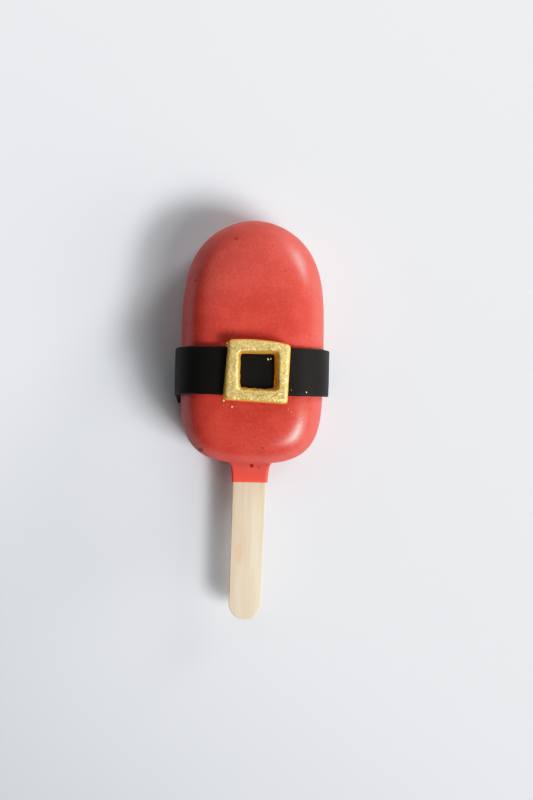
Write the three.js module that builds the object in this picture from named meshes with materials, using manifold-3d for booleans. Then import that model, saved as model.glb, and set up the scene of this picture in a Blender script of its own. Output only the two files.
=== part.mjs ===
// A cake on a stick: a cake body in a red chocolate coating, lying on its flat back with its
// front up, a wooden ice-pop stick, a black fondant belt over the front and a gold fondant buckle.
// Units are millimetres. +Z is up, +Y runs from the stick to the round end, +X is to the right.
import * as THREE from 'three';
import { mergeVertices } from 'three/addons/utils/BufferGeometryUtils.js';
import Module from 'manifold-3d';

const wasm = await Module();
wasm.setup();

// ---- Driving sizes ----

// The body's outline is |x / half width|^across + |y / length|^along = 1 on each side of its widest
// line, which is y = 0. The round end is longer and rounder, the stick end squarer. An upright wall
// rises from the outline, and over it the front is domed: flat in the middle, by flatness, and
// falling ever more steeply to the wall, by steepness. The sides have their own pair of those above
// the belt and another below it, and change between two lines.
const BODY_HALF_WIDTH = 21.4;
const BODY_HEIGHT = 25;
const WALL_HEIGHT = 10.7;
const ROUND_END = { length: 41.1, across: 1.81, along: 4.1, flatness: 4.4, steepness: 2.32 };
const STICK_END = { length: 31.9, across: 2.88, along: 4.8, flatness: 8.9, steepness: 2.57 };
const SIDES_ABOVE_BELT = { flatness: 4.8, steepness: 1.9 };
const SIDES_BELOW_BELT = { flatness: 5.3, steepness: 2.1 };
const SIDES_CHANGE = { highY: 6, lowY: -14 };
const BACK_EDGE_HEIGHT = 1;
const BACK_EDGE_INSET = 0.03;
const OUTLINE_POINTS = 72;
const FRONT_RINGS = 14;

// The stick is a flat plank with round ends. It leans a little in the body.
const STICK_LENGTH = 93;
const STICK_WIDTH = 10;
const STICK_TIP_WIDTH = 9.7;
const STICK_THICKNESS = 2;
const STICK_TIP_Y = -79.5;
const STICK_LEAN = THREE.MathUtils.degToRad(-1.1);
const STICK_PIVOT = { x: -0.1, y: -38 };
const STICK_MID_HEIGHT = 7.6;

// The coating runs a little way down the stick as a collar.
const COLLAR_END = { y: -37.9, halfWidth: 5.8, halfThickness: 1.9 };
const COLLAR_ROOT = { y: -28, halfWidth: 8.4, halfThickness: 3.4 };
const COLLAR_SQUARENESS = 5;
const COLLAR_STEPS = 6;
const COLLAR_POINTS = 32;

// The belt is a strip laid over the front and down both sides, to the flat back's edge.
const BELT_WIDTH = 13.8;
const BELT_THICKNESS = 1.8;
const BELT_MID_Y = -4.5;
const BELT_FOOT_SWING = { left: -3.3, right: 0.3 };
const BELT_STATIONS = 60;
const BELT_FRONT_SHARE = 0.8;

// The buckle is a square ring, cut by hand, so no two of its sides are quite alike.
const BUCKLE_CORNERS = [[11.4, 3.2], [-6.9, 4.5], [-8.4, -13.1], [10.6, -14]];
const BUCKLE_HOLE_CORNERS = [[6.5, 0.5], [-3, 0.5], [-2.9, -9.2], [6.5, -9.6]];
const BUCKLE_THICKNESS = 1.9;
const BUCKLE_HOLE_FLARE = 1.18;
const BUCKLE_OUTER_TAPER = 0.985;
const BUCKLE_ROUNDING = 0.15;
const BUCKLE_STATIONS = 80;

// Pieces that touch keep this gap.
const GAP = 0.3;

// ---- Shared geometry ----

function signedPower(value, power) {
  return Math.sign(value) * Math.abs(value) ** power;
}

// A closed solid through rings of points that all turn the same way. Its ends are flat caps, or the
// last ring joins the first.
function loft(rings, joinEnds = false) {
  const size = rings[0].length;
  const positions = rings.flat().flatMap((point) => point.toArray());
  const triangles = [];
  const spans = joinEnds ? rings.length : rings.length - 1;
  for (let i = 0; i < spans; i += 1) {
    const near = i * size;
    const far = ((i + 1) % rings.length) * size;
    for (let j = 0; j < size; j += 1) {
      const next = (j + 1) % size;
      triangles.push(near + j, near + next, far + next);
      triangles.push(near + j, far + next, far + j);
    }
  }
  if (!joinEnds) {
    const last = (rings.length - 1) * size;
    for (let j = 1; j < size - 1; j += 1) {
      triangles.push(0, j + 1, j);
      triangles.push(last, last + j, last + j + 1);
    }
  }
  const geometry = new THREE.BufferGeometry();
  geometry.setAttribute('position', new THREE.Float32BufferAttribute(positions, 3));
  geometry.setIndex(triangles);
  return geometry;
}

function toManifold(geometry) {
  const bare = geometry.clone();
  bare.deleteAttribute('normal');
  bare.deleteAttribute('uv');
  const merged = mergeVertices(bare);
  return new wasm.Manifold(new wasm.Mesh({
    numProp: 3,
    vertProperties: new Float32Array(merged.attributes.position.array),
    triVerts: new Uint32Array(merged.index.array),
  }));
}

function toGeometry(manifold) {
  const mesh = manifold.getMesh();
  const geometry = new THREE.BufferGeometry();
  geometry.setAttribute('position', new THREE.BufferAttribute(mesh.vertProperties, 3));
  geometry.setIndex(new THREE.BufferAttribute(mesh.triVerts, 1));
  return geometry;
}

function namedMesh(name, geometry, color, roughness, metalness) {
  geometry.computeVertexNormals();
  const mesh = new THREE.Mesh(geometry, new THREE.MeshStandardMaterial({ color, roughness, metalness }));
  mesh.name = name;
  return mesh;
}

// ---- Coated body ----

function endAt(y) {
  return y >= 0 ? ROUND_END : STICK_END;
}

// Height of the front where the outline has shrunk to a fraction of its size. endShare is 0 at the
// sides and 1 at the tips of the two ends.
function frontHeight(fraction, y, endShare) {
  const end = endAt(y);
  const above = THREE.MathUtils.smoothstep(y, SIDES_CHANGE.lowY, SIDES_CHANGE.highY);
  const sideFlatness = THREE.MathUtils.lerp(SIDES_BELOW_BELT.flatness, SIDES_ABOVE_BELT.flatness, above);
  const sideSteepness = THREE.MathUtils.lerp(SIDES_BELOW_BELT.steepness, SIDES_ABOVE_BELT.steepness, above);
  const flatness = THREE.MathUtils.lerp(sideFlatness, end.flatness, endShare);
  const steepness = THREE.MathUtils.lerp(sideSteepness, end.steepness, endShare);
  const rise = (1 - Math.min(fraction, 1) ** flatness) ** (1 / steepness);
  return WALL_HEIGHT + (BODY_HEIGHT - WALL_HEIGHT) * rise;
}

function outlineHalfWidth(y) {
  const end = endAt(y);
  return BODY_HALF_WIDTH * (1 - Math.abs(y / end.length) ** end.along) ** (1 / end.across);
}

// Height of the front above a point, from the fraction of the outline that passes through it.
function surfaceHeight(x, y) {
  const end = endAt(y);
  let low = 0;
  let high = 2;
  for (let i = 0; i < 40; i += 1) {
    const fraction = (low + high) / 2;
    const across = Math.abs(x / (fraction * BODY_HALF_WIDTH)) ** end.across;
    const along = Math.abs(y / (fraction * end.length)) ** end.along;
    if (across + along > 1) low = fraction;
    else high = fraction;
  }
  const endShare = Math.min(Math.abs(y / (high * end.length)) ** end.along, 1);
  return frontHeight(high, y, endShare);
}

function makeBodyShell() {
  const ringOf = (fraction, heightAt) => {
    const ring = [];
    for (let i = 0; i < OUTLINE_POINTS; i += 1) {
      const turn = (2 * Math.PI * i) / OUTLINE_POINTS;
      const end = endAt(Math.sin(turn));
      const x = fraction * BODY_HALF_WIDTH * signedPower(Math.cos(turn), 2 / end.across);
      const y = fraction * end.length * signedPower(Math.sin(turn), 2 / end.along);
      ring.push(new THREE.Vector3(x, y, heightAt(y, Math.sin(turn) ** 2)));
    }
    return ring;
  };
  const rings = [ringOf(1 - BACK_EDGE_INSET, () => 0), ringOf(1, () => BACK_EDGE_HEIGHT)];
  for (let i = 0; i < FRONT_RINGS; i += 1) {
    const fraction = Math.cos((Math.PI / 2) * (i / FRONT_RINGS)) ** 0.5;
    rings.push(ringOf(fraction, (y, endShare) => frontHeight(fraction, y, endShare)));
  }
  return loft(rings);
}

function makeCollar() {
  const rings = [];
  for (let i = 0; i <= COLLAR_STEPS; i += 1) {
    const along = i / COLLAR_STEPS;
    const flare = (1 - along) ** 2;
    const halfWidth = THREE.MathUtils.lerp(COLLAR_END.halfWidth, COLLAR_ROOT.halfWidth, flare);
    const halfThickness = THREE.MathUtils.lerp(COLLAR_END.halfThickness, COLLAR_ROOT.halfThickness, flare);
    const y = THREE.MathUtils.lerp(COLLAR_ROOT.y, COLLAR_END.y, along);
    const ring = [];
    for (let j = 0; j < COLLAR_POINTS; j += 1) {
      const turn = (2 * Math.PI * j) / COLLAR_POINTS;
      ring.push(new THREE.Vector3(
        STICK_PIVOT.x + halfWidth * signedPower(Math.cos(turn), 2 / COLLAR_SQUARENESS),
        y,
        STICK_MID_HEIGHT + halfThickness * signedPower(Math.sin(turn), 2 / COLLAR_SQUARENESS),
      ));
    }
    rings.push(ring);
  }
  return loft(rings);
}

// ---- Stick ----

// A plank along Y with round ends, already in its place in the body. Grown by a clearance, it is
// also the shape of the slot that it fills.
function makePlank(clearance) {
  const tipRadius = STICK_TIP_WIDTH / 2;
  const innerRadius = STICK_WIDTH / 2;
  const tipCentreY = STICK_TIP_Y - STICK_PIVOT.y + tipRadius;
  const innerCentreY = STICK_TIP_Y + STICK_LENGTH - STICK_PIVOT.y - innerRadius;
  const outline = new THREE.Shape();
  outline.absarc(0, tipCentreY, tipRadius + clearance, Math.PI, 2 * Math.PI);
  outline.lineTo(innerRadius + clearance, 0);
  outline.absarc(0, innerCentreY, innerRadius + clearance, 0, Math.PI);
  outline.lineTo(-innerRadius - clearance, 0);
  outline.closePath();
  const depth = STICK_THICKNESS + 2 * clearance;
  const geometry = new THREE.ExtrudeGeometry(outline, { depth, bevelEnabled: false, curveSegments: 16 });
  geometry.translate(0, 0, -depth / 2);
  geometry.rotateZ(STICK_LEAN);
  geometry.translate(STICK_PIVOT.x, STICK_PIVOT.y, STICK_MID_HEIGHT);
  return geometry;
}

// ---- Belt ----

// A place on the body where a strip edge crosses it, and the direction in which the body faces
// there. position runs from -1 at the left foot to 1 at the right foot.
function strapPoint(position, y) {
  const side = Math.sign(position) || 1;
  const halfWidth = outlineHalfWidth(y);
  const frontShare = Math.min(Math.abs(position) / BELT_FRONT_SHARE, 1);
  const wallShare = Math.max(Math.abs(position) - BELT_FRONT_SHARE, 0) / (1 - BELT_FRONT_SHARE);
  const spread = Math.sin((Math.PI / 2) * frontShare) ** 0.75;
  const step = 1e-4;
  const near = Math.max(spread - step, 0) * halfWidth;
  const far = Math.min(spread + step, 1) * halfWidth;
  const run = wallShare > 0 ? 0 : far - near;
  const drop = surfaceHeight(near, y) - surfaceHeight(far, y);
  const length = Math.hypot(run, drop);
  return {
    x: side * halfWidth * spread,
    z: surfaceHeight(halfWidth * spread, y) - wallShare * (WALL_HEIGHT - BACK_EDGE_HEIGHT),
    faceX: (side * drop) / length,
    faceZ: run / length,
  };
}

function makeBelt() {
  const rings = [];
  for (let i = 0; i <= BELT_STATIONS; i += 1) {
    const position = -1 + (2 * i) / BELT_STATIONS;
    const swing = position < 0 ? BELT_FOOT_SWING.left : BELT_FOOT_SWING.right;
    const descent = 1 - strapPoint(position, BELT_MID_Y).z / BODY_HEIGHT;
    const midY = BELT_MID_Y + swing * descent ** 3;
    const corner = (offset, edgeY) => {
      const surface = strapPoint(position, edgeY);
      const height = surface.z + surface.faceZ * offset;
      return new THREE.Vector3(surface.x + surface.faceX * offset, edgeY, height);
    };
    rings.push([
      corner(GAP, midY + BELT_WIDTH / 2),
      corner(GAP + BELT_THICKNESS, midY + BELT_WIDTH / 2),
      corner(GAP + BELT_THICKNESS, midY - BELT_WIDTH / 2),
      corner(GAP, midY - BELT_WIDTH / 2),
    ]);
  }
  return loft(rings);
}

// ---- Buckle ----

// Points round a square of half size 1 with rounded corners.
function roundedSquare() {
  const centre = 1 - BUCKLE_ROUNDING;
  const path = new THREE.Path();
  path.absarc(centre, centre, BUCKLE_ROUNDING, 0, Math.PI / 2);
  path.absarc(-centre, centre, BUCKLE_ROUNDING, Math.PI / 2, Math.PI);
  path.absarc(-centre, -centre, BUCKLE_ROUNDING, Math.PI, 1.5 * Math.PI);
  path.absarc(centre, -centre, BUCKLE_ROUNDING, 1.5 * Math.PI, 2 * Math.PI);
  path.closePath();
  return path.getSpacedPoints(BUCKLE_STATIONS).slice(0, BUCKLE_STATIONS);
}

// A point of the square once the square's corners are stretched to four given places.
function stretchedPoint(corners, point, scale) {
  const u = point.x * scale;
  const v = point.y * scale;
  const weights = [(1 + u) * (1 + v), (1 - u) * (1 + v), (1 - u) * (1 - v), (1 + u) * (1 - v)];
  const x = weights.reduce((sum, weight, i) => sum + (weight / 4) * corners[i][0], 0);
  const y = weights.reduce((sum, weight, i) => sum + (weight / 4) * corners[i][1], 0);
  return { x, y };
}

function makeBuckle() {
  const section = [
    { corners: BUCKLE_CORNERS, scale: 1, rise: 0 },
    { corners: BUCKLE_HOLE_CORNERS, scale: 1, rise: 0 },
    { corners: BUCKLE_HOLE_CORNERS, scale: BUCKLE_HOLE_FLARE, rise: BUCKLE_THICKNESS },
    { corners: BUCKLE_CORNERS, scale: BUCKLE_OUTER_TAPER, rise: BUCKLE_THICKNESS },
  ];
  const rings = roundedSquare().map((point) => section.map(({ corners, scale, rise }) => {
    const { x, y } = stretchedPoint(corners, point, scale);
    const underside = surfaceHeight(x, y) + GAP + BELT_THICKNESS + GAP;
    return new THREE.Vector3(x, y, underside + rise);
  }));
  return loft(rings, true);
}

// ---- The part ----

const part = new THREE.Group();

const coatedShape = toManifold(makeBodyShell()).add(toManifold(makeCollar()));
const slottedShape = coatedShape.subtract(toManifold(makePlank(GAP)));
part.add(namedMesh('coated_body', toGeometry(slottedShape), 0xc23a30, 0.45, 0));
part.add(namedMesh('stick', makePlank(0), 0xe6cfae, 0.7, 0));
part.add(namedMesh('belt', makeBelt(), 0x141312, 0.7, 0));
part.add(namedMesh('buckle', makeBuckle(), 0xd9b665, 0.4, 0.8));

// The origin is under the middle of the part, on the surface that it lies on.
const box = new THREE.Box3().setFromObject(part);
part.position.set(-(box.min.x + box.max.x) / 2, -(box.min.y + box.max.y) / 2, -box.min.z);

export default part;
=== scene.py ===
import math
import random

import bmesh
import bpy
from mathutils import Matrix, Vector, noise


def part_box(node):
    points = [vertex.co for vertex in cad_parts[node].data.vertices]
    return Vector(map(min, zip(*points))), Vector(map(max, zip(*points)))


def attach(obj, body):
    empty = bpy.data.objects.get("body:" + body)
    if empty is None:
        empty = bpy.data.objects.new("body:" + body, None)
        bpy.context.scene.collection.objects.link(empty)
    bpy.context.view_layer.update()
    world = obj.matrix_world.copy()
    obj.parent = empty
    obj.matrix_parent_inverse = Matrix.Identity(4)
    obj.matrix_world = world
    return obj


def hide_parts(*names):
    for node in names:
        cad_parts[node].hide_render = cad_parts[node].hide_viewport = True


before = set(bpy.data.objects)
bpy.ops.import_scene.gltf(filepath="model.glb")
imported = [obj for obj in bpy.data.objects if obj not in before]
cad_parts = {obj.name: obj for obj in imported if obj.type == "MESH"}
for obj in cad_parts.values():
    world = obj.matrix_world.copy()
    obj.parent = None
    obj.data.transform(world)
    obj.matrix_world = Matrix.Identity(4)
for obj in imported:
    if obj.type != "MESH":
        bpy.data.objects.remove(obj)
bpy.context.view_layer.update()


# ---- Camera ----
# A camera held level over the cake, looking straight down on its front. It is a little to the
# right of the cake and turned by about a degree.
# Down to the gold flecks, sizes and places are in millimetres from the body's widest line, on the
# table under its middle.

CAMERA_PLACE = (4.55, -12.75, 346)
CAMERA_TURN = 0.022
# How far the body's round end reaches past its widest line.
ROUND_END_LENGTH = 41.1
# How softly the camera takes the darkest and the brightest light: light coming in, light shown.
TONE_CURVE = ((0, 0), (0.03, 0.017), (0.1, 0.081), (0.6, 0.58), (0.95, 0.846), (1.33, 0.943))

body_low, body_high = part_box("coated_body")
body_middle_x = (body_low.x + body_high.x) / 2
widest_line_y = body_high.y - 0.001 * ROUND_END_LENGTH
to_frame = Matrix.Translation((body_middle_x, widest_line_y, 0)) @ Matrix.Scale(0.001, 4)

camera = bpy.data.objects.new("camera", bpy.data.cameras.new("camera"))
bpy.context.scene.collection.objects.link(camera)
camera.data.lens = 50
camera.data.sensor_width = 36
camera.location = to_frame @ Vector(CAMERA_PLACE)
camera.rotation_euler = (0, 0, CAMERA_TURN)
bpy.context.scene.camera = camera

view = bpy.context.scene.view_settings
view.view_transform = "Standard"
view.use_curve_mapping = True
tones = view.curve_mapping
tones.clip_max_x = tones.clip_max_y = 1.5
tones.curves[3].points[1].location = TONE_CURVE[-1]
for point in TONE_CURVE[1:-1]:
    tones.curves[3].points.new(*point)
tones.update()


# ---- Coated body ----
# A cake body dipped in red chocolate, which set to a smooth satin coat about a flat back. The
# coating ran a little way down the stick, where it is thin and ends in a straight lip.

BODY_HALF_WIDTH = 21.4
BODY_HEIGHT = 25
WALL_HEIGHT = 10.7
# Each end's length, the two powers that shape its outline, and how flat its crown and how
# steep its shoulder are.
ROUND_END = {"length": ROUND_END_LENGTH, "across": 1.81, "along": 4.1, "flatness": 4.4,
             "steepness": 2.32}
STICK_END = {"length": 31.9, "across": 2.88, "along": 4.8, "flatness": 9.6,
             "steepness": 2.57}
SIDES_ABOVE_BELT = {"flatness": 4.8, "steepness": 1.9}
SIDES_BELOW_BELT = {"flatness": 5.6, "steepness": 2.1}
# Under the belt the sides change from one to the other.
SIDES_CHANGE = {"from_y": 6, "length": 20}
BACK_EDGE = 1
BODY_COLUMNS = 96
BODY_RINGS = 44
# The mesh's columns crowd toward the ends, and its rings toward the rim of the front.
COLUMN_CROWDING = 1.3
RING_CROWDING = 0.7
# Shares of the rings below the front that make the wall and the round edge of the back.
WALL_SHARE = 0.25
EDGE_SHARE = 0.14
STICK_MIDDLE_Z = 7.6
COLLAR_MIDDLE_X = 0.0
# The patch of the body's stick end that the collar grows from.
COLLAR_ROOT = {"half_width": 6.6, "low": 5.0, "high": 10.3, "beyond_y": -25}
COATING_DARK = (0.545, 0.0615, 0.0445, 1)
COATING_LIGHT = (0.622, 0.0805, 0.0585, 1)
COATING_THIN = (0.95, 0.095, 0.061, 1)
# The coat thins from the first of these places along the collar to the second.
COAT_THINS = (-32.8, -37.4)
# It set smoothest on the crown of the front, and duller down the sides.
COAT_ON_CROWN = {"height": 23.2, "roughness": 0.3}
COAT_ON_SIDES = {"height": 18.5, "roughness": 0.56}
# Specks of colour that didn't melt in the coating: across, along, radius and strength.
COLOUR_SPECKS = (
    (0.5, -32.7, 0.62, 1.0), (2.6, -33.2, 0.5, 0.4), (-14.5, -27.9, 0.8, 0.95),
    (3.7, -26.7, 0.35, 0.5), (-5.3, 34.2, 0.55, 0.5), (-17.0, 21.8, 0.4, 0.6),
    (9.3, 24.7, 0.3, 0.5),
)
SPECK_RED = (0.24, 0.002, 0.012, 1)
# A speck is whole to the first share of its radius and gone at the second.
SPECK_EDGE = (0.65, 1.35)
# Each step of the collar: how far along y, half its width and half its thickness.
COLLAR_STEPS = (
    (-32.7, 6.05, 2.2),
    (-34.0, 5.7, 1.7),
    (-36.4, 5.5, 1.45),
    (-37.6, 5.45, 1.35),
    (-37.9, 5.38, 1.25),
    (-37.85, 5.3, 1.1),
    (-36.0, 5.3, 1.1),
)


def end_of(y):
    """The end of the body that a line across it lies in."""
    return ROUND_END if y >= 0 else STICK_END


def outline_fraction(x, y):
    """Size of the outline that passes through a point, where the body's own outline is 1."""
    end = end_of(y)
    low, high = 0.0, 2.0
    for _ in range(36):
        middle = (low + high) / 2
        across = abs(x / (middle * BODY_HALF_WIDTH)) ** end["across"]
        along = abs(y / (middle * end["length"])) ** end["along"]
        if across + along > 1:
            low = middle
        else:
            high = middle
    return high


def sides_at(y):
    """The sides' flatness and steepness, which change from one half to the other under the belt."""
    share = min(max((SIDES_CHANGE["from_y"] - y) / SIDES_CHANGE["length"], 0), 1)
    share = share * share * (3 - 2 * share)
    return {key: value + (SIDES_BELOW_BELT[key] - value) * share
            for key, value in SIDES_ABOVE_BELT.items()}


def front_height(x, y):
    """Height of the coated front over a point of the table."""
    end = end_of(y)
    sides = sides_at(y)
    fraction = outline_fraction(x, y)
    if fraction < 1e-6:
        return BODY_HEIGHT
    end_share = min(abs(y / (fraction * end["length"])) ** end["along"], 1)
    flatness = sides["flatness"] + (end["flatness"] - sides["flatness"]) * end_share
    steepness = sides["steepness"] + (end["steepness"] - sides["steepness"]) * end_share
    rise = (1 - min(fraction, 1) ** flatness) ** (1 / steepness)
    return WALL_HEIGHT + (BODY_HEIGHT - WALL_HEIGHT) * rise


def lay_on_body(unit):
    """Place on the body of a point of the unit sphere. The upper half is its front, and the lower
    half its upright wall, the round edge of its back and the flat back."""
    turn = math.atan2(COLUMN_CROWDING * unit.y, unit.x)
    reach = 1 / outline_fraction(math.cos(turn), math.sin(turn))
    rim = Vector((reach * math.cos(turn), reach * math.sin(turn), 0))
    tilt = math.acos(max(-1, min(1, unit.z)))
    if tilt < math.pi / 2 - 1e-4:
        place = rim * math.sin(tilt) ** RING_CROWDING
        place.z = front_height(place.x, place.y)
        return place
    share = (tilt - math.pi / 2) / (math.pi / 2)
    down = min(share / WALL_SHARE, 1)
    corner = min(max((share - WALL_SHARE) / EDGE_SHARE, 0), 1) * math.pi / 2
    inward = max(share - WALL_SHARE - EDGE_SHARE, 0) / (1 - WALL_SHARE - EDGE_SHARE)
    place = rim * (1 - BACK_EDGE / BODY_HALF_WIDTH * (1 - math.cos(corner))) * (1 - inward)
    place.z = WALL_HEIGHT + (BACK_EDGE - WALL_HEIGHT) * down - BACK_EDGE * math.sin(corner)
    return place


def link_piece(name, mesh_builder, finish):
    """Puts a mesh in its place in the frame as a smooth-shaded piece with its finish."""
    bmesh.ops.transform(mesh_builder, matrix=to_frame, verts=mesh_builder.verts)
    bmesh.ops.recalc_face_normals(mesh_builder, faces=mesh_builder.faces)
    mesh = bpy.data.meshes.new(name)
    for face in mesh_builder.faces:
        face.smooth = True
    mesh_builder.to_mesh(mesh)
    mesh_builder.free()
    mesh.materials.append(finish)
    piece = bpy.data.objects.new(name, mesh)
    bpy.context.scene.collection.objects.link(piece)
    return piece


def new_finish(name):
    """A new material, its node tree and its shader."""
    finish = bpy.data.materials.new(name)
    finish.use_nodes = True
    return finish, finish.node_tree, finish.node_tree.nodes["Principled BSDF"]


def add_node(tree, kind, inputs, **settings):
    """A node with its settings made, and each input set or joined to another node's output."""
    node = tree.nodes.new(kind)
    for name, value in settings.items():
        setattr(node, name, value)
    for name, value in inputs.items():
        if isinstance(value, bpy.types.NodeSocket):
            tree.links.new(value, node.inputs[name])
        else:
            node.inputs[name].default_value = value
    return node


def make_coating():
    finish, tree, shader = new_finish("red_chocolate_coating")
    place = add_node(tree, "ShaderNodeTexCoord", {}).outputs["Object"]
    clouds = add_node(tree, "ShaderNodeTexNoise", {"Vector": place, "Scale": 160, "Detail": 3})
    grain = add_node(tree, "ShaderNodeTexNoise", {"Vector": place, "Scale": 1500, "Detail": 2})
    mottle = add_node(tree, "ShaderNodeMath", {0: clouds.outputs["Fac"], 1: grain.outputs["Fac"]},
                      operation="ADD")
    tone = add_node(tree, "ShaderNodeMapRange",
                    {"Value": mottle.outputs[0], "From Min": 0.85, "From Max": 1.15})
    body_red = add_node(tree, "ShaderNodeMix",
                        {"Factor": tone.outputs[0], "A": COATING_DARK, "B": COATING_LIGHT},
                        data_type="RGBA")
    along = add_node(tree, "ShaderNodeSeparateXYZ", {"Vector": place})
    thin = add_node(tree, "ShaderNodeMapRange",
                    {"Value": along.outputs["Y"],
                     "From Min": widest_line_y + 0.001 * COAT_THINS[0],
                     "From Max": widest_line_y + 0.001 * COAT_THINS[1]})
    colour = add_node(tree, "ShaderNodeMix",
                      {"Factor": thin.outputs[0], "A": body_red.outputs["Result"],
                       "B": COATING_THIN},
                      data_type="RGBA")
    speck_share = add_node(tree, "ShaderNodeValue", {}).outputs[0]
    for x, y, radius, strength in COLOUR_SPECKS:
        scale = 1000 / radius
        centre = to_frame @ Vector((x, y, 0))
        speck_place = add_node(tree, "ShaderNodeMapping",
                               {"Vector": place, "Location": centre * -scale,
                                "Scale": (scale, scale, 0)})
        distance = add_node(tree, "ShaderNodeVectorMath", {0: speck_place.outputs[0]},
                            operation="LENGTH")
        speck = add_node(tree, "ShaderNodeMapRange",
                         {"Value": distance.outputs["Value"], "From Min": SPECK_EDGE[1],
                          "From Max": SPECK_EDGE[0], "To Max": strength},
                         interpolation_type="SMOOTHSTEP")
        speck_share = add_node(tree, "ShaderNodeMath", {0: speck_share, 1: speck.outputs[0]},
                               operation="MAXIMUM").outputs[0]
    colour = add_node(tree, "ShaderNodeMix",
                      {"Factor": speck_share, "A": colour.outputs["Result"], "B": SPECK_RED},
                      data_type="RGBA")
    pits = add_node(tree, "ShaderNodeTexNoise", {"Vector": place, "Scale": 900, "Detail": 4})
    bump = add_node(tree, "ShaderNodeBump",
                    {"Height": pits.outputs["Fac"], "Strength": 0.25, "Distance": 0.0001})
    dullness = add_node(tree, "ShaderNodeMapRange",
                        {"Value": along.outputs["Z"],
                         "From Min": 0.001 * COAT_ON_CROWN["height"],
                         "From Max": 0.001 * COAT_ON_SIDES["height"],
                         "To Min": COAT_ON_CROWN["roughness"],
                         "To Max": COAT_ON_SIDES["roughness"]})
    tree.links.new(colour.outputs["Result"], shader.inputs["Base Color"])
    tree.links.new(dullness.outputs[0], shader.inputs["Roughness"])
    tree.links.new(bump.outputs["Normal"], shader.inputs["Normal"])
    shader.inputs["Specular IOR Level"].default_value = 0.5
    return finish


builder = bmesh.new()
bmesh.ops.create_uvsphere(builder, u_segments=BODY_COLUMNS, v_segments=BODY_RINGS, radius=1)
for vert in builder.verts:
    vert.co = lay_on_body(vert.co)

collar_faces = []
for face in builder.faces:
    centre = face.calc_center_median()
    in_width = abs(centre.x - COLLAR_MIDDLE_X) < COLLAR_ROOT["half_width"]
    in_height = COLLAR_ROOT["low"] < centre.z < COLLAR_ROOT["high"]
    if in_width and in_height and centre.y < COLLAR_ROOT["beyond_y"]:
        collar_faces.append(face)
for y, half_width, half_thickness in COLLAR_STEPS:
    step = bmesh.ops.extrude_face_region(builder, geom=collar_faces)
    bmesh.ops.delete(builder, geom=collar_faces, context="FACES_ONLY")
    collar_faces = [item for item in step["geom"] if isinstance(item, bmesh.types.BMFace)]
    step_verts = [item for item in step["geom"] if isinstance(item, bmesh.types.BMVert)]
    step_low = Vector(map(min, zip(*(vert.co for vert in step_verts))))
    step_high = Vector(map(max, zip(*(vert.co for vert in step_verts))))
    for vert in step_verts:
        across = 2 * (vert.co.x - step_low.x) / (step_high.x - step_low.x) - 1
        up = 2 * (vert.co.z - step_low.z) / (step_high.z - step_low.z) - 1
        vert.co = (COLLAR_MIDDLE_X + across * half_width, y, STICK_MIDDLE_Z + up * half_thickness)

coated_body = link_piece("red_coated_body", builder, make_coating())
smoothing = coated_body.modifiers.new("smoothing", "SUBSURF")
smoothing.levels = smoothing.render_levels = 2
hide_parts("coated_body")
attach(coated_body, "root")


# ---- Stick ----
# A flat birch ice-pop stick with round ends and slightly softened edges, pushed into the cake
# before it was dipped. It leans by about a degree.

# Its bare tip is a little narrower than its hidden end.
STICK = {"tip_y": -79.6, "end_y": 13.5, "half_width": 5.53, "tip_half_width": 4.85,
         "half_thickness": 1, "softening": 0.25}
STICK_PIVOT = (-0.02, -38.4)
STICK_LEAN = math.radians(-1.15)
# A faint pink stain of the coating.
STAIN = {"centre": (-2.76, -59.3, 0), "half_width": 1.3, "half_length": 3.6}
STAIN_PINK = (0.86, 0.47, 0.28, 1)
FIBRE_DARK = (0.715, 0.57, 0.392, 1)
FIBRE_LIGHT = (0.8, 0.668, 0.5, 1)
WOOD_BAND = (0.755, 0.565, 0.375, 1)


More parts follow.
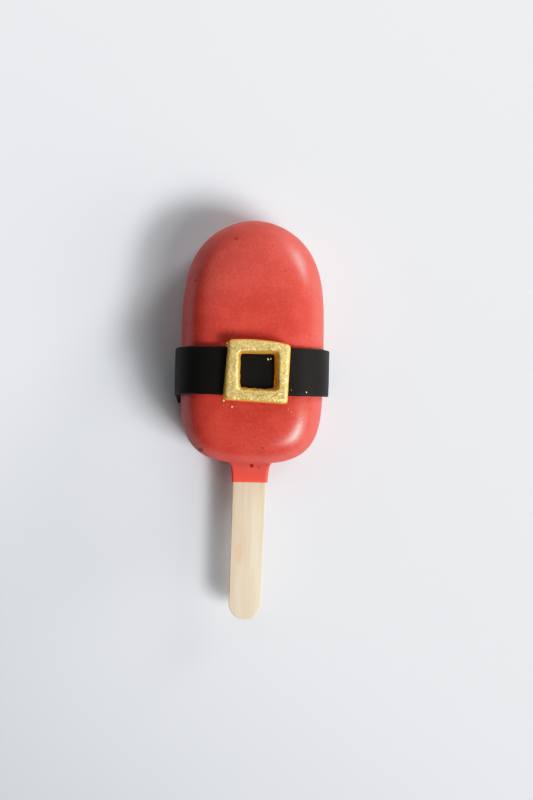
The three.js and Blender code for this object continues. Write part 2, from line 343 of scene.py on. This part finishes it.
def make_birch():
    finish, tree, shader = new_finish("birch_wood")
    place = add_node(tree, "ShaderNodeTexCoord", {}).outputs["Object"]
    stretched = add_node(tree, "ShaderNodeMapping", {"Vector": place, "Scale": (620, 42, 620)})
    fibres = add_node(tree, "ShaderNodeTexNoise",
                      {"Vector": stretched.outputs[0], "Scale": 1, "Detail": 4})
    bands_place = add_node(tree, "ShaderNodeMapping", {"Vector": place, "Scale": (260, 34, 260)})
    bands = add_node(tree, "ShaderNodeTexNoise",
                     {"Vector": bands_place.outputs[0], "Scale": 1, "Detail": 2})
    fibre_tone = add_node(tree, "ShaderNodeMapRange",
                          {"Value": fibres.outputs["Fac"], "From Min": 0.35, "From Max": 0.65})
    fibre_wood = add_node(tree, "ShaderNodeMix",
                          {"Factor": fibre_tone.outputs[0], "A": FIBRE_DARK, "B": FIBRE_LIGHT},
                          data_type="RGBA")
    band_tone = add_node(tree, "ShaderNodeMapRange",
                         {"Value": bands.outputs["Fac"], "From Min": 0.5, "From Max": 0.75,
                          "To Max": 0.6})
    wood = add_node(tree, "ShaderNodeMix",
                    {"Factor": band_tone.outputs[0], "A": fibre_wood.outputs["Result"],
                     "B": WOOD_BAND},
                    data_type="RGBA")
    stain_scale = Vector((1000 / STAIN["half_width"], 1000 / STAIN["half_length"], 0))
    stain_place = add_node(tree, "ShaderNodeMapping",
                           {"Vector": place, "Scale": stain_scale,
                            "Location": -(to_frame @ Vector(STAIN["centre"])) * stain_scale})
    stain_distance = add_node(tree, "ShaderNodeVectorMath", {0: stain_place.outputs[0]},
                              operation="LENGTH")
    stain_edge = add_node(tree, "ShaderNodeTexNoise", {"Vector": place, "Scale": 420, "Detail": 2})
    stain_reach = add_node(tree, "ShaderNodeMath",
                           {0: stain_distance.outputs["Value"], 1: stain_edge.outputs["Fac"]},
                           operation="ADD")
    stain = add_node(tree, "ShaderNodeMapRange",
                     {"Value": stain_reach.outputs[0], "From Min": 1.7, "From Max": 0.9,
                      "To Max": 0.6},
                     interpolation_type="SMOOTHSTEP")
    colour = add_node(tree, "ShaderNodeMix",
                      {"Factor": stain.outputs[0], "A": wood.outputs["Result"], "B": STAIN_PINK},
                      data_type="RGBA")
    bump = add_node(tree, "ShaderNodeBump",
                    {"Height": fibres.outputs["Fac"], "Strength": 0.35, "Distance": 0.0001})
    tree.links.new(colour.outputs["Result"], shader.inputs["Base Color"])
    tree.links.new(bump.outputs["Normal"], shader.inputs["Normal"])
    shader.inputs["Roughness"].default_value = 0.65
    return finish


builder = bmesh.new()
bmesh.ops.create_circle(builder, cap_ends=True, radius=1, segments=64)
for vert in builder.verts:
    tip = vert.co.y < 1e-5
    radius = STICK["tip_half_width"] if tip else STICK["half_width"]
    centre_y = STICK["tip_y"] + radius if tip else STICK["end_y"] - radius
    vert.co = Vector((vert.co.x * radius, centre_y + vert.co.y * radius, -STICK["half_thickness"]))
plank = bmesh.ops.extrude_face_region(builder, geom=builder.faces[:])
plank_verts = [item for item in plank["geom"] if isinstance(item, bmesh.types.BMVert)]
bmesh.ops.translate(builder, vec=(0, 0, 2 * STICK["half_thickness"]), verts=plank_verts)
arrises = [edge for edge in builder.edges if abs(edge.verts[0].co.z - edge.verts[1].co.z) < 1e-6]
bmesh.ops.bevel(builder, geom=arrises, offset=STICK["softening"], segments=4, profile=0.5,
                affect="EDGES", material=-1)
to_pivot = Matrix.Translation((0, -STICK_PIVOT[1], 0))
lean = Matrix.Rotation(STICK_LEAN, 4, "Z")
into_body = Matrix.Translation((*STICK_PIVOT, STICK_MIDDLE_Z))
bmesh.ops.transform(builder, matrix=into_body @ lean @ to_pivot, verts=builder.verts)
stick = link_piece("wooden_stick", builder, make_birch())
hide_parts("stick")
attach(stick, "root")


# ---- Belt ----
# A strip of black fondant rolled nearly two millimetres thick, cut by hand and laid over
# the front and down both sides. Its left foot swings towards the stick.

BELT_WIDTH = 13.8
BELT_THICKNESS = 1.8
BELT_MIDDLE_Y = -4.55
BELT_FOOT_SWING = {-1: -3.3, 1: 0.3}
# Share of the strip's length that lies on the front, before it goes down the walls.
FRONT_SHARE = 0.75
# The strip's rows of mesh crowd toward the shoulders, where it bends most.
SHOULDER_CROWDING = 0.75
# How much its cut edges wander, and how round they are.
BELT_WANDER = 0.14
BELT_EDGE_ROUNDING = 0.45
FONDANT_DARK = (0.0036, 0.0033, 0.0029, 1)
FONDANT_LIGHT = (0.0062, 0.0057, 0.0051, 1)


def half_width_at(y):
    """Half the body's width along a line across it."""
    end = end_of(y)
    return BODY_HALF_WIDTH * (1 - abs(y / end["length"]) ** end["along"]) ** (1 / end["across"])


def lay_strap(position, edge):
    """Place on the body of a point of the belt: position runs from -1 at the left foot to 1 at the
    right one, and edge from -1 at the stick's side to 1."""
    side = -1 if position < 0 else 1
    front_share = min(abs(position) / FRONT_SHARE, 1)
    spread = math.sin(math.pi / 2 * front_share) ** SHOULDER_CROWDING
    drop = (WALL_HEIGHT - BACK_EDGE) * max(abs(position) - FRONT_SHARE, 0) / (1 - FRONT_SHARE)
    middle_height = front_height(half_width_at(BELT_MIDDLE_Y) * spread, BELT_MIDDLE_Y) - drop
    descent = 1 - middle_height / BODY_HEIGHT
    wander = BELT_WANDER * noise.noise(Vector((position * 9, edge * 3, 0)))
    y = BELT_MIDDLE_Y + BELT_FOOT_SWING[side] * descent ** 3 + edge * BELT_WIDTH / 2 + wander
    x = half_width_at(y) * spread
    return Vector((side * x, y, front_height(x, y) - drop))


def make_black_fondant():
    finish, tree, shader = new_finish("black_fondant")
    place = add_node(tree, "ShaderNodeTexCoord", {}).outputs["Object"]
    clouds = add_node(tree, "ShaderNodeTexNoise", {"Vector": place, "Scale": 350, "Detail": 3})
    colour = add_node(tree, "ShaderNodeMix",
                      {"Factor": clouds.outputs["Fac"], "A": FONDANT_DARK, "B": FONDANT_LIGHT},
                      data_type="RGBA")
    grain = add_node(tree, "ShaderNodeTexNoise", {"Vector": place, "Scale": 1800, "Detail": 4})
    bump = add_node(tree, "ShaderNodeBump",
                    {"Height": grain.outputs["Fac"], "Strength": 0.4, "Distance": 0.00012})
    tree.links.new(colour.outputs["Result"], shader.inputs["Base Color"])
    tree.links.new(bump.outputs["Normal"], shader.inputs["Normal"])
    shader.inputs["Roughness"].default_value = 0.6
    shader.inputs["IOR"].default_value = 1.33
    shader.inputs["Specular IOR Level"].default_value = 0.55
    shader.inputs["Specular Tint"].default_value = (1, 0.95, 0.88, 1)
    return finish


builder = bmesh.new()
bmesh.ops.create_grid(builder, x_segments=90, y_segments=12, size=1)
for vert in builder.verts:
    vert.co = lay_strap(vert.co.x, vert.co.y)
belt = link_piece("black_fondant_belt", builder, make_black_fondant())
thickness = belt.modifiers.new("thickness", "SOLIDIFY")
thickness.thickness = 0.001 * BELT_THICKNESS
thickness.offset = 1
soft_edges = belt.modifiers.new("soft_edges", "BEVEL")
soft_edges.width = 0.001 * BELT_EDGE_ROUNDING
soft_edges.segments = 3
soft_edges.angle_limit = math.radians(40)
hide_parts("belt")
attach(belt, "root")


# ---- Buckle ----
# A square ring of fondant, cut by hand and painted with edible gold, stuck on the belt. It is
# wider than the belt, so its two cross bars overhang the coating and droop a little.

BUCKLE_CORNERS = ((11.25, 3.2), (-6.85, 4.35), (-8.3, -13.0), (10.6, -13.9))
BUCKLE_HOLE_CORNERS = ((6.5, 0.4), (-3.15, 0.4), (-3.1, -9.15), (6.55, -9.55))
BUCKLE_HOLE_TOP = ((7.75, 1.25), (-3.7, 1.05), (-3.6, -10.0), (7.95, -10.1))
BUCKLE_COLUMNS = 120
BUCKLE_ROUNDING = 0.07
BUCKLE_HOLE_ROUNDING = 0.12
BUCKLE_HOLE_TOP_ROUNDING = 0.16
# Round the bar's section, from under its outer edge over its top to its hole: share of the way
# from the outside to the hole's edge, height over the belt, and how much of a wall it is, which is
# how much of the walls' darker orange it is painted, partly the paint's own colour on the cut
# sides and partly painted shade. The hole's section goes on down from there to the hole's foot.
BUCKLE_SECTION = (
    (0.02, 0.0, 1), (0.0, 0.5, 1), (0.02, 1.5, 1), (0.06, 2.0, 0.9), (0.13, 2.42, 0.2),
    (0.3, 2.62, 0), (0.6, 2.6, 0), (0.85, 2.65, 0), (0.96, 2.5, 0), (1.0, 2.15, 0.4),
)
BUCKLE_HOLE_SECTION = ((0.35, 1.7, 0.8), (0.75, 0.9, 1), (1.0, 0.3, 1), (1.0, 0.0, 1))
# How far the top side bulges in its middle, how far the left side's shoulder is pressed in, how
# ragged the cut edges are, how uneven the top is, and how deep the buckle sinks into the belt.
BUCKLE_BULGE = 0.75
BUCKLE_SLUMP = 0.5
BUCKLE_RAGGEDNESS = 0.13
BUCKLE_UNEVENNESS = 0.12
BUCKLE_SINK = 0.1
GOLD_DARK = (0.74, 0.48, 0.13, 1)
GOLD_LIGHT = (0.95, 0.71, 0.28, 1)
# Pale gold painted on a few flakes as painted glints: a painted highlight.
GOLD_PAINTED_GLINT = (1, 0.93, 0.62, 1)
# Darker orange painted on the walls, the hole and the underside: partly the paint's own colour on
# the cut sides, partly painted shade.
GOLD_WALL_SHADE = (0.95, 0.5, 0.085, 1)
FLAKE_TILT = 0.28


def stretch_square(corners, across, up):
    """A point of a square of half size 1, once its corners are stretched to four places."""
    weights = ((1 + across) * (1 + up), (1 - across) * (1 + up),
               (1 - across) * (1 - up), (1 + across) * (1 - up))
    return sum((Vector(corner) * weight / 4 for corner, weight in zip(corners, weights)),
               Vector((0, 0)))


def round_square(turn, rounding):
    """A point of a square of half size 1 with rounded corners, at a turn round its middle."""
    power = 2 / rounding
    across, up = math.cos(turn), math.sin(turn)
    size = (abs(across) ** power + abs(up) ** power) ** (1 / power)
    return across / size, up / size


def make_gold():
    finish, tree, shader = new_finish("gold_paint")
    place = add_node(tree, "ShaderNodeTexCoord", {}).outputs["Object"]
    clouds = add_node(tree, "ShaderNodeTexNoise", {"Vector": place, "Scale": 900, "Detail": 4})
    flakes = add_node(tree, "ShaderNodeTexVoronoi", {"Vector": place, "Scale": 3600})
    flake_tone = add_node(tree, "ShaderNodeSeparateColor", {"Color": flakes.outputs["Color"]})
    tone = add_node(tree, "ShaderNodeMath", {0: clouds.outputs["Fac"], 1: flake_tone.outputs["Red"]},
                    operation="ADD")
    tone_share = add_node(tree, "ShaderNodeMapRange",
                          {"Value": tone.outputs[0], "From Min": 0.45, "From Max": 1.55})
    face_gold = add_node(tree, "ShaderNodeMix",
                         {"Factor": tone_share.outputs[0], "A": GOLD_DARK, "B": GOLD_LIGHT},
                         data_type="RGBA")
    # A few flakes are painted pale gold as painted glints, a painted highlight.
    painted_glint = add_node(tree, "ShaderNodeMapRange",
                     {"Value": flake_tone.outputs["Blue"], "From Min": 0.86, "From Max": 0.94})
    painted_glint_gold = add_node(tree, "ShaderNodeMix",
                             {"Factor": painted_glint.outputs[0], "A": face_gold.outputs["Result"],
                              "B": GOLD_PAINTED_GLINT},
                             data_type="RGBA")
    # The walls, the hole and the underside are painted darker orange, partly the paint's own colour
    # and partly painted shade.
    wall = add_node(tree, "ShaderNodeAttribute", {}, attribute_name="wall")
    colour = add_node(tree, "ShaderNodeMix",
                      {"Factor": wall.outputs["Fac"], "A": painted_glint_gold.outputs["Result"],
                       "B": GOLD_WALL_SHADE},
                      data_type="RGBA")
    tilt = add_node(tree, "ShaderNodeVectorMath", {0: flakes.outputs["Color"], 1: (0.5, 0.5, 0.5)},
                    operation="SUBTRACT")
    tilt_size = add_node(tree, "ShaderNodeVectorMath", {0: tilt.outputs[0], "Scale": FLAKE_TILT},
                         operation="SCALE")
    facing = add_node(tree, "ShaderNodeNewGeometry", {})
    flake_facing = add_node(tree, "ShaderNodeVectorMath",
                            {0: facing.outputs["Normal"], 1: tilt_size.outputs[0]}, operation="ADD")
    flake_normal = add_node(tree, "ShaderNodeVectorMath", {0: flake_facing.outputs[0]},
                            operation="NORMALIZE")
    bump = add_node(tree, "ShaderNodeBump",
                    {"Height": clouds.outputs["Fac"], "Strength": 0.4, "Distance": 0.0001,
                     "Normal": flake_normal.outputs[0]})
    tree.links.new(colour.outputs["Result"], shader.inputs["Base Color"])
    tree.links.new(bump.outputs["Normal"], shader.inputs["Normal"])
    shader.inputs["Roughness"].default_value = 0.42
    shader.inputs["Metallic"].default_value = 0.5
    return finish


builder = bmesh.new()
bmesh.ops.create_circle(builder, radius=1, segments=BUCKLE_COLUMNS)
ring_edges = builder.edges[:]
first_edges = ring_edges
turns = builder.verts.layers.float.new("turn")
# How much of each point takes the walls' darker orange, which is partly painted shade.
walls = builder.verts.layers.float.new("wall")
for vert in builder.verts:
    vert[turns] = math.atan2(vert.co.y, vert.co.x)


def buckle_point(turn, share, rise, in_hole):
    """Place on the body of a point of the buckle, from its turn round the ring and its section."""
    across, up = round_square(turn, BUCKLE_ROUNDING)
    outer = stretch_square(BUCKLE_CORNERS, across, up)
    outer.y += BUCKLE_BULGE * max(up, 0) ** 3 * (1 - across ** 2)
    # Only the shoulder is pressed in, and most of all toward the stick.
    if 0.01 < share < 0.5:
        outer.x += BUCKLE_SLUMP * max(-across, 0) ** 3 * (0.35 + 0.65 * max(-up, 0))
    top = stretch_square(BUCKLE_HOLE_TOP, *round_square(turn, BUCKLE_HOLE_TOP_ROUNDING))
    foot = stretch_square(BUCKLE_HOLE_CORNERS, *round_square(turn, BUCKLE_HOLE_ROUNDING))
    flat = top.lerp(foot, share) if in_hole else outer.lerp(top, share)
    place = Vector((flat.x, flat.y, 2 * rise))
    # The hole's side toward the stick is cut the most raggedly.
    raggedness = BUCKLE_RAGGEDNESS * (1 + 2 * in_hole * max(-up, 0))
    flat.x += raggedness * noise.noise(place * 0.9)
    flat.y += raggedness * noise.noise(place * 0.9 + Vector((40, 0, 0)))
    over = front_height(flat.x, flat.y) + BELT_THICKNESS - BUCKLE_SINK
    unevenness = BUCKLE_UNEVENNESS * noise.noise(place * 0.5 + Vector((0, 40, 0)))
    return Vector((flat.x, flat.y, over + rise + unevenness))


steps = [(*step, False) for step in BUCKLE_SECTION]
steps += [(*step, True) for step in BUCKLE_HOLE_SECTION]
for index, (share, rise, wall, in_hole) in enumerate(steps):
    if index:
        step = bmesh.ops.extrude_edge_only(builder, edges=ring_edges)
        ring_edges = [item for item in step["geom"] if isinstance(item, bmesh.types.BMEdge)]
    for vert in {vert for edge in ring_edges for vert in edge.verts}:
        vert.co = buckle_point(vert[turns], share, rise, in_hole)
        vert[walls] = wall
bmesh.ops.bridge_loops(builder, edges=first_edges + ring_edges)
buckle = link_piece("gold_buckle", builder, make_gold())
smoothing = buckle.modifiers.new("smoothing", "SUBSURF")
smoothing.levels = smoothing.render_levels = 2
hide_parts("buckle")
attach(buckle, "root")


# ---- Gold flecks ----
# Loose grains and crumbs of the gold paint that fell on the coating and the belt round the
# buckle, and stuck.

# Across, along, radius.
GOLD_FLECKS = (
    (-5.5, -14.9, 0.45), (-7.95, -13.1, 0.45), (-7.25, 3.3, 0.4), (-7.05, 2.5, 0.45),
    (-7.7, 2.9, 0.25), (4.7, -1.0, 0.4), (5.5, -0.9, 0.3), (16.0, -10.3, 0.27), (11.6, -9.7, 0.13),
    (-10.9, 2.3, 0.12),
    (11.0, -15.25, 0.14), (11.7, -16.1, 0.12), (13.4, -19.0, 0.12), (14.1, -17.8, 0.11),
    (15.0, -18.9, 0.15), (-6.9, -14.2, 0.18), (-8.6, 3.1, 0.14), (-7.9, -14.5, 0.12),
)
# A height well above every piece.
OVERHEAD = 60
GRAIN_LUMPINESS = 0.35


def surface_under(x, y, pieces):
    """The highest place of some pieces under a point, and the way the surface faces there."""
    graph = bpy.context.evaluated_depsgraph_get()
    start = to_frame @ Vector((x, y, OVERHEAD))
    found = []
    for piece in pieces:
        hit, place, facing, _ = piece.evaluated_get(graph).ray_cast(start, Vector((0, 0, -1)))
        if hit:
            found.append((place.z, to_frame.inverted() @ place, facing))
    _, place, facing = max(found, key=lambda item: item[0])
    return place, facing


def scatter_grains(builder, grains, pieces, flatness, sink):
    """Adds a small squashed lump at each grain's place, turned to lie on the surface there."""
    random.seed(7)
    for x, y, radius in grains:
        place, facing = surface_under(x, y, pieces)
        lump = bmesh.ops.create_icosphere(builder, subdivisions=2, radius=radius)["verts"]
        for vert in lump:
            lump_noise = noise.noise(vert.co / radius * 1.3 + Vector((x, y, 0)))
            vert.co *= 1 + GRAIN_LUMPINESS * lump_noise
        squash = Matrix.Diagonal((1, random.uniform(0.65, 0.95), flatness, 1))
        spin = Matrix.Rotation(random.uniform(0, math.pi), 4, "Z")
        lie = facing.to_track_quat("Z", "Y").to_matrix().to_4x4()
        move = Matrix.Translation(place - facing * radius * sink)
        bmesh.ops.transform(builder, matrix=move @ lie @ spin @ squash, verts=lump)


builder = bmesh.new()
scatter_grains(builder, GOLD_FLECKS, [coated_body, belt], flatness=0.6, sink=0.1)
flecks = link_piece("gold_flecks", builder, bpy.data.materials["gold_paint"])
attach(flecks, "root")


# ---- Table and light ----
# The cake lies on a plain pale table. Most light comes from a window at the lower right, which
# is brightest in its middle. A low window at the upper right and a pale wall beyond the round
# end fill its shadows. Sizes in this section are in metres.

TABLE_SIZE = 3
TABLE_LIGHT = 4.18
TABLE_PALE = (0.745, 0.768, 0.81, 1)
TABLE_PALEST = (0.765, 0.788, 0.83, 1)
# The table's colour is painted a little darker toward its lower left, more and more between two
# distances: painted shade.
PAINTED_SHADE_CORNER = (-0.55, -0.83, 0)
PAINTED_SHADE_FROM = 0.02
PAINTED_SHADE_TO = 0.22
PAINTED_SHADE_BRIGHTNESS = 0.7


def make_table_finish():
    finish, tree, shader = new_finish("pale_table")
    place = add_node(tree, "ShaderNodeTexCoord", {}).outputs["Object"]
    clouds = add_node(tree, "ShaderNodeTexNoise", {"Vector": place, "Scale": 14, "Detail": 4})
    colour = add_node(tree, "ShaderNodeMix",
                      {"Factor": clouds.outputs["Fac"], "A": TABLE_PALE, "B": TABLE_PALEST},
                      data_type="RGBA")
    # Painted shade: the colour is darkened toward the lower left.
    toward_corner = add_node(tree, "ShaderNodeVectorMath", {0: place, 1: PAINTED_SHADE_CORNER},
                             operation="DOT_PRODUCT")
    painted_shading = add_node(tree, "ShaderNodeMapRange",
                       {"Value": toward_corner.outputs["Value"], "From Min": PAINTED_SHADE_FROM,
                        "From Max": PAINTED_SHADE_TO, "To Min": 1, "To Max": PAINTED_SHADE_BRIGHTNESS},
                       interpolation_type="SMOOTHSTEP")
    painted_shade_colour = add_node(tree, "ShaderNodeVectorMath",
                      {0: colour.outputs["Result"], "Scale": painted_shading.outputs[0]}, operation="SCALE")
    tree.links.new(painted_shade_colour.outputs[0], shader.inputs["Base Color"])
    shader.inputs["Roughness"].default_value = 0.8
    shader.inputs["Specular IOR Level"].default_value = 0.2
    return finish


def add_window(name, azimuth, elevation, distance, width, height, share, tint=(1, 1, 1)):
    """A soft light seen from the cake at an azimuth from +X and an elevation, as wide and as high
    as two angles, which gives the table that share of its light."""
    light = bpy.data.lights.new(name, "AREA")
    light.shape = "RECTANGLE"
    light.size = 2 * distance * math.tan(math.radians(width) / 2)
    light.size_y = 2 * distance * math.tan(math.radians(height) / 2)
    light.energy = share * TABLE_LIGHT * math.pi * distance ** 2 / math.sin(math.radians(elevation))
    light.color = tint
    lamp = bpy.data.objects.new(name, light)
    toward = Vector((math.cos(math.radians(azimuth)) * math.cos(math.radians(elevation)),
                     math.sin(math.radians(azimuth)) * math.cos(math.radians(elevation)),
                     math.sin(math.radians(elevation))))
    lamp.location = Vector((body_middle_x, widest_line_y, 0.01)) + toward * distance
    lamp.rotation_euler = toward.to_track_quat("Z", "Y").to_euler()
    bpy.context.scene.collection.objects.link(lamp)


builder = bmesh.new()
bmesh.ops.create_grid(builder, x_segments=8, y_segments=8, size=TABLE_SIZE / 2)
table_mesh = bpy.data.meshes.new("table")
builder.to_mesh(table_mesh)
builder.free()
table_mesh.materials.append(make_table_finish())
table = bpy.data.objects.new("table", table_mesh)
bpy.context.scene.collection.objects.link(table)

add_window("main_window", azimuth=-42, elevation=45, distance=5, width=32, height=22, share=0.26)
add_window("main_window_bright", azimuth=-33, elevation=40, distance=5, width=25, height=10,
           share=0.31)
add_window("main_window_low", azimuth=-30, elevation=22, distance=5, width=40, height=18,
           share=0.1)
add_window("side_window", azimuth=42, elevation=12, distance=1.5, width=20, height=20, share=0.11)
add_window("pale_wall", azimuth=100, elevation=46, distance=0.5, width=84, height=60, share=0.26,
           tint=(0.97, 1, 0.98))

# The rest of the room is nearly dark.
world = bpy.data.worlds.new("room")
world.use_nodes = True
world.node_tree.nodes["Background"].inputs["Color"].default_value = (1, 1, 1, 1)
world.node_tree.nodes["Background"].inputs["Strength"].default_value = 0.01
bpy.context.scene.world = world
